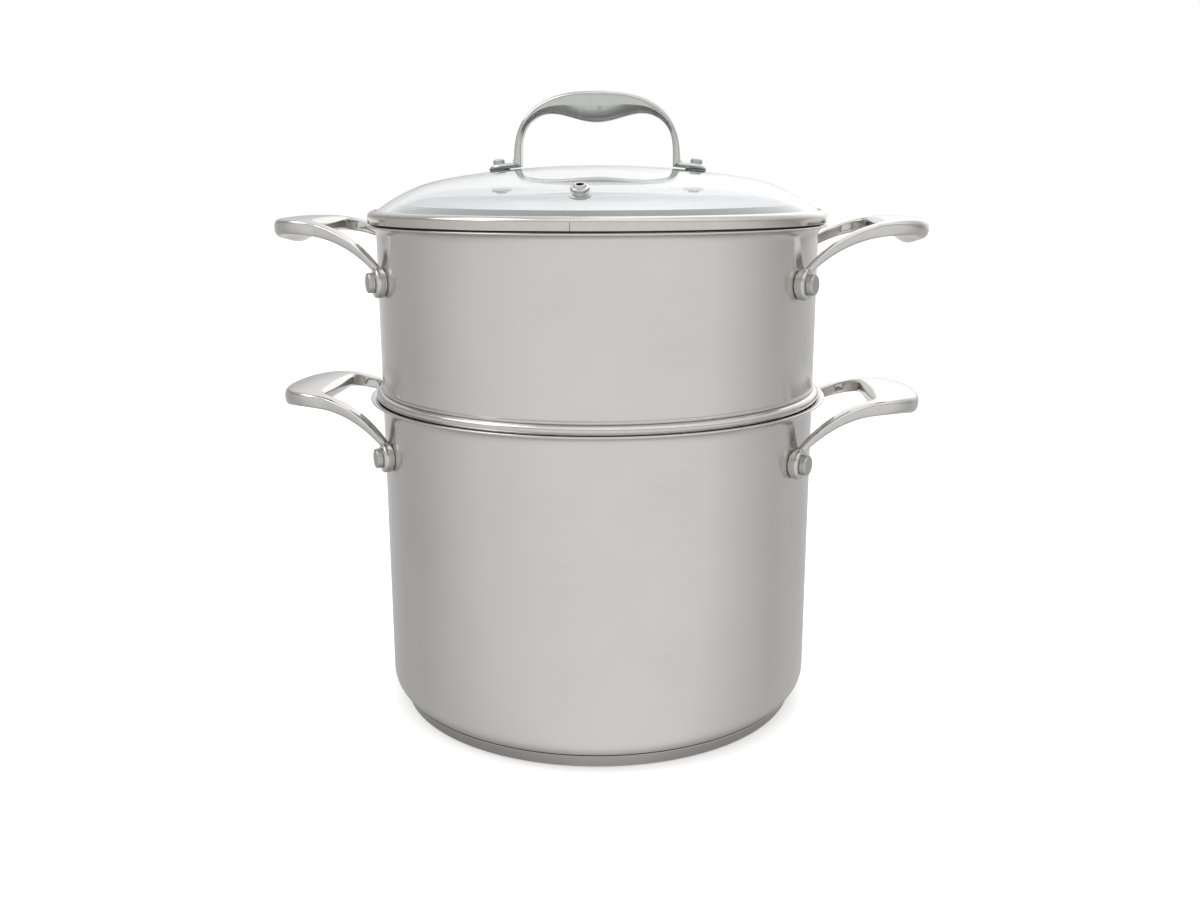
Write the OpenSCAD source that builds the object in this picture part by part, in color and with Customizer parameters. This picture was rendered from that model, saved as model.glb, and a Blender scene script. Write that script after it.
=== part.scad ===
// Two-tier double boiler: a stock pot with a capsule base, a drop-in upper pot
// whose shoulder bead rests on the flared rim below, and a domed glass lid.
// The origin is on the pot's axis where it stands on the ground, +Z is up,
// and the side handles point along +X and -X.

/* [Pots] */
// Outside diameter of both walls
body_d = 240; // [200:1:280]
// Thickness of the sheet steel of both pots
wall_t = 1.0; // [0.8:0.1:1.4]
// Height of the lower pot's rim above the ground
pot_h = 175; // [150:1:230]
// Height of the upper pot's rim above the lower pot's rim
insert_h = 93; // [75:1:140]
// Depth that the upper pot hangs inside the lower pot
insert_drop = 40; // [25:1:60]
// Clearance between the hanging part and the lower pot's outer wall
insert_low_gap = 5.5; // [5.5:0.1:9]

/* [Rims and corners] */
// Outside radius of the lower pot's bottom corner
pot_corner_r = 11.5; // [8:0.5:14]
// Outside radius of the upper pot's bottom corner
insert_corner_r = 10; // [6:0.5:14]
// Reach of the lower pot's pouring rim beyond its wall
pot_flare = 6.7; // [5.5:0.1:7.5]
// Reach of the upper pot's rim beyond its wall
insert_flare = 5.0; // [4:0.1:6]
// Radius of the shoulder bead that rests on the lower rim
bead_r = 2.9; // [2.4:0.1:3.2]
// Radius of the turn from the shoulder into the hanging part
neck_r = 3.0; // [2.5:0.1:4]
// Clearance between pieces that only rest on each other
seat_gap = 0.25; // [0.2:0.05:0.3]

/* [Capsule base] */
// Height of the pot's flat underside above the ground
base_t = 5.6; // [4.5:0.1:7]
// Thickness of the steel cap round the heat-spreading disc
cap_t = 0.8; // [0.6:0.1:1.2]
// Inset of the cap's foot from the pot's wall
base_inset = 7.2; // [6.8:0.1:9]
// Height of the seam between the cap and the pot
seam_h = 8.0; // [7.4:0.1:9]

/* [Side handles] */
// Reach of a handle's tip beyond the wall
handle_reach = 58.2; // [54:0.2:70]
// Width across the paddle that the hand holds
paddle_w = 84; // [80:1:92]
// Length of the opening for the fingers, from the wall to the paddle
finger_gap = 30.5; // [28:0.5:33]
// Angle of each pad from the handle's middle, about the pot's axis
pad_angle = 27; // [25:0.5:29]
// Depth of the pad's centre below the rim
pad_drop = 28.4; // [27.4:0.2:30]
// Diameter of a pad
pad_d = 16; // [14:0.5:18]
// Thickness of a pad at its centre
pad_t = 5.0; // [4.5:0.1:6]
// Width of an arm
arm_w = 8; // [7:0.5:9]
// Offset of an arm from the middle of its pad
arm_shift = 1.5; // [0:0.1:2]
// Height of the handle's top edges above the rim
crest = 2.8; // [1:0.2:5]
// Height of the paddle's middle above its top edges
crown_h = 1.2; // [0:0.1:2]
// Radius of the arm's upper curve
arm_top_r = 69; // [68:0.5:70]
// Radius of the arm's lower curve
arm_low_r = 68; // [67:0.5:69]
// Thickness of the handle at its edges
paddle_t = 7.6; // [7:0.1:8.6]
// Depth of the swelling under the middle of the paddle
swell_t = 5.0; // [3:0.1:6]
// Diameter of a rivet's outer head
rivet_head_d = 10.6; // [9:0.2:12]
// Height of a rivet's outer head
rivet_head_t = 3.6; // [2.6:0.1:4.4]
// Clearance between a rivet's outer head and the arm beside it
head_gap = 0.4; // [0.2:0.1:0.8]
// Diameter of a rivet's head inside the pot
rivet_inner_d = 12.4; // [10:0.2:13]
// Height of a rivet's head inside the pot
rivet_inner_t = 1.8; // [1.4:0.1:2]
// Diameter of a rivet's shank
rivet_d = 6; // [5:0.2:7]

/* [Lid] */
// Reach of the steel band beyond the upper pot's wall
band_over = 4.3; // [3.8:0.1:5]
// Height of the band
band_h = 7.3; // [6.6:0.1:8.5]
// Thickness of the band's strip
band_t = 0.7; // [0.5:0.1:0.9]
// Depth of the skirt that drops into the upper pot
skirt_h = 6.8; // [5:0.2:9]
// Clearance round the skirt inside the upper pot
skirt_gap = 1.0; // [0.8:0.1:1.5]
// Thickness of the glass
glass_t = 4.0; // [3.6:0.1:4.2]
// Clearance between the glass edge and the band, filled by the seal
seal_t = 1.0; // [0.8:0.1:1.2]
// Radius of curvature of the crown of the glass
crown_rad = 500; // [430:5:650]
// Radius of curvature of the shoulder of the glass
shoulder_rad = 87; // [84:1:95]
// Distance from the glass edge at which the crown turns into the shoulder
knee_inset = 42.6; // [38:0.2:48]

/* [Lid handle] */
// Distance from the axis to each rivet of the handle
foot_r = 53.4; // [52:0.2:56]
// Width of a foot
foot_w = 11.6; // [10.5:0.1:13]
// Thickness of a foot
foot_t = 3.0; // [2.5:0.1:4]
// Span over the outside of the legs
arch_span = 90; // [86:0.4:93]
// Height of the arch above the feet
arch_h = 38; // [34:0.4:46]
// Thickness of a leg
leg_t = 3.8; // [3.4:0.1:5]
// Width of a leg
leg_w = 11; // [9:0.2:12]
// Thickness of the arch on both sides of the grip
crown_t = 9.8; // [8:0.2:11]
// Width of the middle of the grip
grip_w = 17; // [15:0.2:19]
// Depth of the swelling under the grip
grip_swell = 6.4; // [4:0.2:8]
// Length of the swelling under the grip
grip_l = 62; // [50:1:66]
// Diameter of the lid rivets' heads
lid_rivet_head_d = 6.4; // [6:0.2:8]
// Height of the lid rivets' heads
lid_rivet_head_t = 2.6; // [2:0.1:4]
// Diameter of the lid rivets' shanks
lid_rivet_d = 4.4; // [4:0.2:5]
// Thickness of the pads on both sides of the glass
soft_pad_t = 0.6; // [0.5:0.1:1]
// Diameter of the washers under the glass
washer_d = 11.6; // [9:0.2:13]
// Thickness of the washers under the glass
washer_t = 1.2; // [0.8:0.1:1.6]
// Clearance between each shank and its hole in the glass
glass_hole_gap = 0.6; // [0.4:0.1:0.9]

/* [Steam vent] */
// Distance of the vent from the glass edge
vent_inset = 23.6; // [22:0.2:30]
// Diameter of the eyelet's flange
vent_d = 9.4; // [8.8:0.2:10]
// Height of the eyelet's flange
vent_t = 2.9; // [2.4:0.1:3.2]
// Diameter of the steam hole
vent_hole_d = 3.6; // [3:0.2:4]
// Thickness of the eyelet's tube
vent_wall = 0.9; // [0.7:0.1:1]

/* [Hidden] */
$fn = 96;
arc_n = 8;
body_r = body_d / 2;
inner_r = body_r - wall_t;
insert_rim_z = pot_h + insert_h;

// Lower pot
pot_corner = [body_r - pot_corner_r, base_t + pot_corner_r];
pot_lip_r = wall_t / 2;
pot_roll_r = pot_flare - pot_lip_r - 0.2;
pot_roll = [body_r + pot_roll_r, pot_h - wall_t - pot_roll_r];

// Upper pot
insert_low_r = body_r - insert_low_gap;
insert_lip_r = wall_t / 2;
insert_roll_r = insert_flare - insert_lip_r;
insert_roll = [body_r + insert_roll_r, insert_rim_z - wall_t - insert_roll_r];
insert_bottom_z = pot_h - insert_drop;
insert_corner = [insert_low_r - insert_corner_r, insert_bottom_z + insert_corner_r];
bead_out = 0.35;
bead_reach = pot_roll_r + wall_t + seat_gap + bead_r;
bead_side = pot_roll[0] - body_r - bead_out;
bead = [body_r + bead_out, pot_roll[1] + sqrt(bead_reach * bead_reach - bead_side * bead_side)];
neck = [insert_low_r + neck_r, bead[1] - bead_r - neck_r];

// Capsule base
base_r = body_r - base_inset;
cap_round = 1.2;
core_r = base_r - cap_t - 0.4;
seam_dz = pot_corner[1] - seam_h;
seam_r = pot_corner[0] + sqrt(pot_corner_r * pot_corner_r - seam_dz * seam_dz) + 0.15;

// Side handle, with heights measured from the rim
tip_x = body_r + handle_reach;
paddle_x = tip_x - 31;
gap_x = body_r + finger_gap;
top_arc = [body_r + 41.5, crest - arm_top_r];
low_arc = [body_r + 38.5, crest - paddle_t - arm_low_r];
swell_c = [gap_x + 17, 0];
swell_size = [11, 34];
arm_steps = 8;
turn_steps = 5;
edge_steps = 6;
rivet_z_pot = pot_h - pad_drop;
rivet_z_insert = insert_rim_z - pad_drop;

// Lid
band_r = body_r + band_over;
band_z = insert_rim_z + seat_gap;
band_top = band_z + band_h;
band_round = 3.4;
band_lip_angle = 95;
flange_z = band_z + band_t;
skirt_r = inner_r - skirt_gap;
glass_r = band_r - band_t - seal_t;
glass_floor = flange_z + 0.45;
glass_edge_z = band_top - band_round + 0.5;
knee_r = glass_r - knee_inset;
knee_tilt = asin(knee_r / crown_rad);
shoulder_x = knee_r - shoulder_rad * sin(knee_tilt);
edge_tilt = asin((glass_r - shoulder_x) / shoulder_rad);
shoulder_z = glass_edge_z - shoulder_rad * cos(edge_tilt);
crown_z = shoulder_z + (shoulder_rad - crown_rad) * cos(knee_tilt);
inside_rad = shoulder_rad - glass_t;
floor_tilt = acos((glass_floor - shoulder_z) / inside_rad);

// Lid handle
foot_tilt = asin(foot_r / crown_rad);
foot_seat = crown_rad + soft_pad_t;
pad_sag = pow(washer_d / 2, 2) / (2 * (crown_rad - glass_t)) + 0.02;
foot_z = crown_z + foot_seat * cos(foot_tilt);
arch_base = foot_z + foot_t;
arch_a = arch_span / 2;
arch_steps = 13;

// Steam vent
vent_r = glass_r - vent_inset;
vent_tilt = asin((vent_r - shoulder_x) / shoulder_rad);
vent_washer_d = vent_d + 1.6;
vent_washer_t = 0.8;
vent_lip_t = 0.7;
vent_sag = pow(vent_washer_d / 2, 2) / (2 * inside_rad) + 0.05;

// Points on an arc about centre c, from angle a0 to angle a1
function arc(c, r, a0, a1, n = arc_n) =
    [for (i = [0:n]) let (a = a0 + (a1 - a0) * i / n) c + r * [cos(a), sin(a)]];

// A list of points in the other direction
function reversed(p) = [for (i = [len(p) - 1:-1:0]) p[i]];

// Points on a smooth curve from a to d that leaves a towards b and reaches d from c
function curve(a, b, c, d, n, first = 0) =
    [for (i = [first:n]) let (t = i / n, u = 1 - t)
        u * u * u * a + 3 * u * u * t * b + 3 * u * t * t * c + t * t * t * d];

// A smooth hump: 1 in the middle, 0 at a distance of 1 and beyond
function hump(u) = abs(u) >= 1 ? 0 : (1 + cos(180 * u)) / 2;

// The two triangles of each patch between neighbouring rings of m points, and both ends
function loft_faces(rings, m) = concat(
    [for (i = [0:rings - 2], j = [0:m - 1]) let (k = (j + 1) % m)
        [i * m + j, i * m + k, (i + 1) * m + j]],
    [for (i = [0:rings - 2], j = [0:m - 1]) let (k = (j + 1) % m)
        [i * m + k, (i + 1) * m + k, (i + 1) * m + j]],
    [[for (j = [m - 1:-1:0]) j]],
    [[for (j = [0:m - 1]) (rings - 1) * m + j]]
);

// A quarter of a superellipse from its end on the y axis to its end on the x axis
function super_quarter(c, a, b, k, n, first = 0) =
    [for (i = [first:n]) let (t = 90 * i / n) c + [a * pow(sin(t), 2 / k), b * pow(cos(t), 2 / k)]];

// Height of the top of the glass, and its tilt, at a distance r from the axis
function glass_tilt(r) = r < knee_r ? asin(r / crown_rad) : asin((r - shoulder_x) / shoulder_rad);
function glass_z(r) = r < knee_r
    ? crown_z + crown_rad * cos(glass_tilt(r))
    : shoulder_z + shoulder_rad * cos(glass_tilt(r));

// Outline of the outside of the lower pot, from the axis to the lip
pot_outside = concat(
    [[0, base_t]],
    arc(pot_corner, pot_corner_r, -90, 0),
    arc(pot_roll, pot_roll_r, 180, 90),
    arc(pot_roll + [0.2, pot_roll_r + pot_lip_r], pot_lip_r, -90, 90)
);
pot_inside = concat(
    arc(pot_roll, pot_roll_r + wall_t, 90, 180),
    arc(pot_corner, pot_corner_r - wall_t, 0, -90),
    [[0, base_t + wall_t]]
);

// Outline of the upper pot, outside upwards and inside downwards
bead_top = acos(-bead_out / bead_r);
bead_inner_r = bead_r - wall_t;
bead_inner_top = acos(-(bead_out + wall_t) / bead_inner_r);
insert_outside = concat(
    [[0, insert_bottom_z]],
    arc(insert_corner, insert_corner_r, -90, 0),
    arc(neck, neck_r, 180, 90),
    arc(bead, bead_r, -90, bead_top, 14),
    arc(insert_roll, insert_roll_r, 180, 90),
    arc(insert_roll + [0, insert_roll_r + insert_lip_r], insert_lip_r, -90, 90)
);
insert_inside = concat(
    arc(insert_roll, insert_roll_r + wall_t, 90, 180),
    arc(bead, bead_inner_r, bead_inner_top, -90, 14),
    arc(neck, neck_r + wall_t, 90, 180),
    arc(insert_corner, insert_corner_r - wall_t, 0, -90),
    [[0, insert_bottom_z + wall_t]]
);

// Section through the glass, from the apex down the outside and back up the inside
glass_outline = concat(
    arc([0, crown_z], crown_rad, 90, 90 - knee_tilt),
    arc([shoulder_x, shoulder_z], shoulder_rad, 90 - knee_tilt, 90 - edge_tilt),
    [[glass_r, glass_floor]],
    arc([shoulder_x, shoulder_z], inside_rad, 90 - floor_tilt, 90 - knee_tilt),
    arc([0, crown_z], crown_rad - glass_t, 90 - knee_tilt, 90)
);

// Section through the band: outer wall, lip over the glass, flange and skirt
band_curl = [band_r - band_round, band_top - band_round];
band_outline = concat(
    [[skirt_r, band_z], [band_r - 0.5, band_z]],
    arc([band_r - 0.5, band_z + 0.5], 0.5, -90, 0, 4),
    arc(band_curl, band_round, 0, band_lip_angle),
    arc(band_curl, band_round - band_t, band_lip_angle, 0),
    [[band_r - band_t, flange_z], [skirt_r - band_t, flange_z]],
    [[skirt_r - band_t, band_z - skirt_h], [skirt_r, band_z - skirt_h]]
);

// The hollow of the band that the seal and the glass edge fill
seal_room = concat(
    [[skirt_r + 0.6, flange_z], [band_r - band_t, flange_z]],
    arc(band_curl, band_round - band_t, 0, band_lip_angle),
    [[glass_r - 3.4, glass_floor]]
);

// Puts its children on the outside of a wall, along the radial axis of one pad
module at_pad(side, fore, z) {
    rotate([0, 0, side > 0 ? -fore * pad_angle : 180 + fore * pad_angle])
        translate([0, 0, z])
            rotate([0, 90, 0])
                children();
}

// Puts its children on top of the glass, square to it
module at_foot(side) {
    translate([0, 0, crown_z])
        rotate([0, side * foot_tilt, 0])
            translate([0, 0, crown_rad])
                children();
}

module at_vent() {
    rotate([0, 0, -90])
        translate([shoulder_x, 0, shoulder_z])
            rotate([0, vent_tilt, 0])
                translate([0, 0, shoulder_rad])
                    children();
}

// The holes that the four side rivets of one pot pass through
module side_holes(z) {
    for (side = [-1, 1], fore = [-1, 1])
        at_pad(side, fore, z)
            translate([0, 0, inner_r - 10])
                cylinder(d = rivet_d, h = 30);
}

// Plan of one half of the loop: its edge round the opening and its outer edge, which
// start inside the wall at a pad and end in the middle of the paddle
pad_dir = [cos(pad_angle), sin(pad_angle)];
pad_side = [-sin(pad_angle), cos(pad_angle)];
gap_end = [gap_x - 11.5, paddle_w / 2 - 6.5];
inner_root = (body_r - 3) * pad_dir + (arm_shift - arm_w / 2) * pad_side;
outer_root = (body_r - 3) * pad_dir + (arm_shift + arm_w / 2) * pad_side;
shoulder = [paddle_x, paddle_w / 2];
inner_half = concat(
    curve(inner_root, inner_root + [9, -3.6], gap_end + [-13, 2.4], gap_end, arm_steps),
    curve(gap_end, [gap_x - 4.5, gap_end[1] - 1.5], [gap_x, gap_end[1] - 3],
        [gap_x, gap_end[1] - 10.5], turn_steps, 1),
    [for (i = [1:edge_steps]) [gap_x, (gap_end[1] - 10.5) * (1 - i / edge_steps)]]
);
outer_half = concat(
    curve(outer_root, outer_root + [12, -1.8], shoulder + [-17, 3.6], shoulder, arm_steps),
    super_quarter([paddle_x, 0], tip_x - paddle_x, paddle_w / 2, 2.2, turn_steps + edge_steps, 1)
);

// Heights of the upper and lower surfaces at a point of the plan
function mid_share(p) = max(0, 1 - pow(2 * p[1] / paddle_w, 2)) * hump((p[0] - tip_x + 8) / 40);
function top_height(p) = crown_h * mid_share(p)
    + top_arc[1] + sqrt(arm_top_r * arm_top_r - pow(p[0] - top_arc[0], 2));
function low_height(p) = low_arc[1] + sqrt(arm_low_r * arm_low_r - pow(p[0] - low_arc[0], 2))
    - swell_t * hump((p[0] - swell_c[0]) / swell_size[0]) * hump(p[1] / swell_size[1]);

// One cross-section from a to b, with edges rounded by r: top inner and outer, low inner and outer
function handle_ring(a, b, r) =
    let (
        len = norm(b - a),
        u = (b - a) / len,
        turn = [0, 30, 60, 90],
        top = concat(
            [for (t = turn) [r[0] * (1 - cos(t)), -r[0] * (1 - sin(t))]],
            [for (i = [1:2]) [r[0] + (len - r[0] - r[1]) * i / 3, 0]],
            [for (t = reversed(turn)) [len - r[1] * (1 - cos(t)), -r[1] * (1 - sin(t))]]
        ),
        low = concat(
            [for (t = turn) [len - r[3] * (1 - cos(t)), r[3] * (1 - sin(t))]],
            [for (i = [1:4]) [len - r[3] - (len - r[2] - r[3]) * i / 5, 0]],
            [for (t = reversed(turn)) [r[2] * (1 - cos(t)), r[2] * (1 - sin(t))]]
        )
    )
    concat(
        [for (q = top) let (p = a + u * q[0]) [p[0], p[1], top_height(p) + q[1]]],
        [for (q = low) let (p = a + u * q[0]) [p[0], p[1], low_height(p) + q[1]]]
    );

handle_rings = [
    for (i = [0:len(inner_half) - 1])
        let (w = max(0, i - arm_steps) / (turn_steps + edge_steps))
        handle_ring(inner_half[i], outer_half[i], [0.8 + 2 * w, 1.2, 2.2, 1.4 + 2 * w])
];
handle_ring_size = len(handle_rings[0]);
half_rings = len(handle_rings);

// Where a ring is seen in the other half of the loop
function across(ring) = [for (p = ring) [p[0], -p[1], p[2]]];

// One polished side handle, at the height of its rim
module side_handle(side, rim_z) {
    rings = concat(handle_rings, [for (i = [half_rings - 2:-1:0]) across(handle_rings[i])]);
    difference() {
        mirror([side > 0 ? 0 : 1, 0, 0])
            translate([0, 0, rim_z])
                union() {
                    polyhedron(
                        [for (ring = rings, p = ring) p],
                        loft_faces(len(rings), handle_ring_size)
                    );
                    for (fore = [-1, 1])
                        at_pad(1, fore, -pad_drop)
                            translate([0, 0, inner_r - 10])
                                cylinder(d = pad_d, h = wall_t + 10 + pad_t);
                }
        cylinder(r = body_r, h = 3 * (pot_h + insert_h), center = true, $fn = 180);
        side_holes(rim_z - pad_drop);
        for (fore = [-1, 1])
            at_pad(side, fore, rim_z - pad_drop)
                translate([0, 0, body_r + pad_t])
                    cylinder(d = rivet_head_d + 2 * head_gap, h = 20);
    }
}

// One side rivet: outer head, shank and the flat head inside the pot
module side_rivet(side, fore, z) {
    edge = min(1.2, rivet_head_t / 3);
    head_r = rivet_head_d / 2;
    at_pad(side, fore, z)
        rotate_extrude()
            translate([0, body_r + pad_t])
                polygon(concat(
                    [[0, 0], [head_r, 0]],
                    arc([head_r - edge, rivet_head_t - edge], edge, 0, 80, 5),
                    [[0, rivet_head_t + 0.15]]
                ));
    at_pad(side, fore, z)
        translate([0, 0, inner_r - rivet_inner_t])
            cylinder(d = rivet_d, h = wall_t + pad_t + rivet_inner_t);
    intersection() {
        at_pad(side, fore, z)
            translate([0, 0, inner_r - rivet_inner_t])
                rotate_extrude()
                    polygon([
                        [0, 0], [rivet_inner_d / 2 - 1.6, 0],
                        [rivet_inner_d / 2, rivet_inner_t - 0.4],
                        [rivet_inner_d / 2, rivet_inner_t + 1], [0, rivet_inner_t + 1]
                    ]);
        cylinder(r = inner_r, h = 3 * (pot_h + insert_h), center = true, $fn = 180);
    }
}

module pot_body() {
    color("lightgray")
        difference() {
            rotate_extrude($fn = 180)
                polygon(concat(pot_outside, pot_inside));
            side_holes(rivet_z_pot);
        }
}

module base_core() {
    color("darkgray")
        translate([0, 0, cap_t])
            cylinder(r = core_r, h = base_t - cap_t, $fn = 180);
}

module base_cap() {
    color("silver")
        rotate_extrude($fn = 180)
            difference() {
                polygon(concat(
                    [[0, 0]],
                    arc([base_r - cap_round, cap_round], cap_round, -90, -8, 4),
                    [[seam_r, seam_h], [0, seam_h]]
                ));
                translate([0, cap_t])
                    square([core_r, base_t - cap_t]);
                polygon(concat(pot_outside, [[0, pot_h]]));
            }
}

module insert_body() {
    color("lightgray")
        difference() {
            rotate_extrude($fn = 180)
                polygon(concat(insert_outside, insert_inside));
            side_holes(rivet_z_insert);
        }
}

module lid_glass() {
    color("lightblue")
        difference() {
            rotate_extrude($fn = 180)
                polygon(glass_outline);
            for (side = [-1, 1])
                at_foot(side)
                    translate([0, 0, -2 * glass_t])
                        cylinder(r = lid_rivet_d / 2 + glass_hole_gap, h = 3 * glass_t, $fn = 48);
            at_vent()
                translate([0, 0, -2 * glass_t])
                    cylinder(r = vent_hole_d / 2 + vent_wall, h = 3 * glass_t, $fn = 48);
        }
}

module lid_band() {
    color("silver")
        rotate_extrude($fn = 180)
            polygon(band_outline);
}

module lid_seal() {
    color("white")
        rotate_extrude($fn = 180)
            difference() {
                polygon(seal_room);
                polygon(glass_outline);
                polygon(concat([[0, crown_z]], glass_outline));
            }
}

// Cross-section of the lid handle from a on the inside of the arch to b on its outside, both
// as [x, z], of width w along y
function arch_ring(a, b, w) =
    let (c = (a + b) / 2, h = (b - a) / 2)
    [for (t = [0:18:342])
        let (
            u = sign(cos(t)) * pow(abs(cos(t)), 0.7),
            v = sign(sin(t)) * pow(abs(sin(t)), 0.7)
        )
        [c[0] + h[0] * u, w / 2 * v, c[1] + h[1] * u]];

// The inside of the arch, with the swelling under the grip
function arch_inside(p) = [p[0], p[1] - grip_swell * hump(2 * p[0] / grip_l)];

// A quarter of an arch of half span a and height b, from its top to its foot
function arch_quarter(a, b, k) =
    [for (i = [0:arch_steps])
        let (t = 90 * i / arch_steps, r = pow(pow(sin(t) / a, k) + pow(cos(t) / b, k), -1 / k))
        [r * sin(t), arch_base + r * cos(t)]];

arch_outer = arch_quarter(arch_a, arch_h, 2.6);
arch_inner = [for (p = arch_quarter(arch_a - leg_t, arch_h - crown_t, 3.6)) arch_inside(p)];
arch_half = concat(
    [for (i = [0:arch_steps])
        arch_ring(arch_inner[i], arch_outer[i],
            leg_w + (grip_w - leg_w) * hump(arch_outer[i][0] / (0.8 * arch_a)))],
    [arch_ring([arch_a - leg_t, foot_z - 1], [arch_a, foot_z - 1], leg_w)]
);

// The arch with its swollen grip, and a foot on each side of it
module lid_handle() {
    n = len(arch_half);
    rings = concat(
        [for (i = [n - 1:-1:0]) [for (p = arch_half[i]) [-p[0], p[1], p[2]]]],
        [for (i = [1:n - 1]) arch_half[i]]
    );
    color("silver")
        difference() {
            union() {
                polyhedron([for (ring = rings, p = ring) p], loft_faces(len(rings), 20));
                for (side = [-1, 1])
                    at_foot(side)
                        translate([0, 0, soft_pad_t]) {
                            cylinder(d = foot_w, h = foot_t);
                            translate([side > 0 ? arch_a - leg_t - foot_r : 0, -foot_w / 2, 0])
                                cube([foot_r - arch_a + leg_t, foot_w, foot_t]);
                        }
            }
            translate([0, 0, crown_z])
                sphere(r = foot_seat, $fn = 180);
            for (side = [-1, 1])
                at_foot(side)
                    cylinder(d = lid_rivet_d, h = 3 * foot_t);
        }
}

// One lid rivet: head on the foot, shank and the tail formed under the washer
module lid_rivet(side) {
    grip_t = foot_t + glass_t + 2 * soft_pad_t + pad_sag + washer_t;
    tail_t = 1.4;
    head_r = lid_rivet_head_d / 2;
    color("silver")
        at_foot(side)
            translate([0, 0, soft_pad_t + foot_t])
                rotate_extrude()
                    polygon(concat(
                        [[0, -grip_t - tail_t], [head_r - 0.6, -grip_t - tail_t]],
                        [[head_r, -grip_t - 0.6], [head_r, -grip_t]],
                        [[lid_rivet_d / 2, -grip_t], [lid_rivet_d / 2, 0], [head_r, 0]],
                        arc([head_r - 1, lid_rivet_head_t - 1], 1, 0, 80, 5),
                        [[0, lid_rivet_head_t + 0.1]]
                    ));
}

// A flat ring round a lid rivet, with its upper face z above the top of the glass
module lid_ring(side, d, t, z) {
    at_foot(side)
        translate([0, 0, z - t])
            difference() {
                cylinder(d = d, h = t);
                translate([0, 0, -1])
                    cylinder(d = lid_rivet_d, h = t + 2);
            }
}

module lid_foot_pad(side) {
    color("dimgray")
        lid_ring(side, foot_w - 0.6, soft_pad_t, soft_pad_t);
}

module lid_under_pad(side) {
    color("dimgray")
        lid_ring(side, washer_d - 0.6, soft_pad_t, -glass_t - pad_sag);
}

module lid_washer(side) {
    color("silver")
        lid_ring(side, washer_d, washer_t, -glass_t - pad_sag - soft_pad_t);
}

module vent_eyelet() {
    hole_r = vent_hole_d / 2;
    tube_r = hole_r + vent_wall;
    flange_r = vent_d / 2;
    foot = -glass_t - vent_sag - vent_washer_t;
    color("silver")
        at_vent()
            rotate_extrude()
                polygon(concat(
                    [[hole_r, foot - vent_lip_t], [tube_r + 0.7, foot - vent_lip_t]],
                    [[tube_r + 0.7, foot], [tube_r, foot], [tube_r, 0], [flange_r - 0.3, 0]],
                    arc([flange_r - vent_t / 2, vent_t / 2], vent_t / 2, -30, 90, 6),
                    arc([hole_r + 0.8, vent_t - 0.8], 0.8, 90, 180, 4)
                ));
}

module vent_washer() {
    color("silver")
        at_vent()
            translate([0, 0, -glass_t - vent_sag - vent_washer_t])
                difference() {
                    cylinder(d = vent_washer_d, h = vent_washer_t);
                    translate([0, 0, -1])
                        cylinder(r = vent_hole_d / 2 + vent_wall, h = vent_washer_t + 2);
                }
}

pot_body();
base_core();
base_cap();
color("silver") side_handle(-1, pot_h);  // pot_handle_left
color("silver") side_handle(1, pot_h);  // pot_handle_right
color("gray") side_rivet(-1, 1, rivet_z_pot);  // pot_rivet_left_front
color("gray") side_rivet(-1, -1, rivet_z_pot);  // pot_rivet_left_rear
color("gray") side_rivet(1, 1, rivet_z_pot);  // pot_rivet_right_front
color("gray") side_rivet(1, -1, rivet_z_pot);  // pot_rivet_right_rear
insert_body();
color("silver") side_handle(-1, insert_rim_z);  // insert_handle_left
color("silver") side_handle(1, insert_rim_z);  // insert_handle_right
color("gray") side_rivet(-1, 1, rivet_z_insert);  // insert_rivet_left_front
color("gray") side_rivet(-1, -1, rivet_z_insert);  // insert_rivet_left_rear
color("gray") side_rivet(1, 1, rivet_z_insert);  // insert_rivet_right_front
color("gray") side_rivet(1, -1, rivet_z_insert);  // insert_rivet_right_rear
lid_glass();
lid_band();
lid_seal();
lid_handle();
lid_rivet(-1);  // lid_rivet_left
lid_rivet(1);  // lid_rivet_right
lid_foot_pad(-1);  // lid_foot_pad_left
lid_foot_pad(1);  // lid_foot_pad_right
lid_under_pad(-1);  // lid_under_pad_left
lid_under_pad(1);  // lid_under_pad_right
lid_washer(-1);  // lid_washer_left
lid_washer(1);  // lid_washer_right
vent_eyelet();
vent_washer();
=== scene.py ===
"""Two-tier double boiler in stainless steel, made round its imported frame: two turned
pots with polished rims, a domed glass lid in a steel band, and polished cast handles."""

import math

import bmesh
import bpy
from mathutils import Matrix, Vector
from mathutils.geometry import interpolate_bezier


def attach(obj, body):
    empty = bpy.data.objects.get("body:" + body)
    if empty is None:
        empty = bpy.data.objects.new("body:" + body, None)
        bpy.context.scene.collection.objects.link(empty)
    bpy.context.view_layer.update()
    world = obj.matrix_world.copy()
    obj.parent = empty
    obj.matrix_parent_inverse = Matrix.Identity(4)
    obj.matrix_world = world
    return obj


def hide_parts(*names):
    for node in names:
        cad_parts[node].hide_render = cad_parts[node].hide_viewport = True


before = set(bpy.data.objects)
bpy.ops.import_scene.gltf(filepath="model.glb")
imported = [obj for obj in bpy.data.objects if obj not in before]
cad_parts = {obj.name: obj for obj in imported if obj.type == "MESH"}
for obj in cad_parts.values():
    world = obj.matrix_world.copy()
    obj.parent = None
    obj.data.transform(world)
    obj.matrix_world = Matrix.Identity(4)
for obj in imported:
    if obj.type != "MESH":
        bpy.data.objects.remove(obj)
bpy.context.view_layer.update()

# Shapes are drawn in mm, and finished() brings them to metres
MM = 0.001
LATHE_STEPS = 192
SUPPORT = 0.8  # distance of the support loops from the ends of a long straight
SHARP_ANGLE = 32  # degrees from which an edge is drawn sharp

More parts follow.
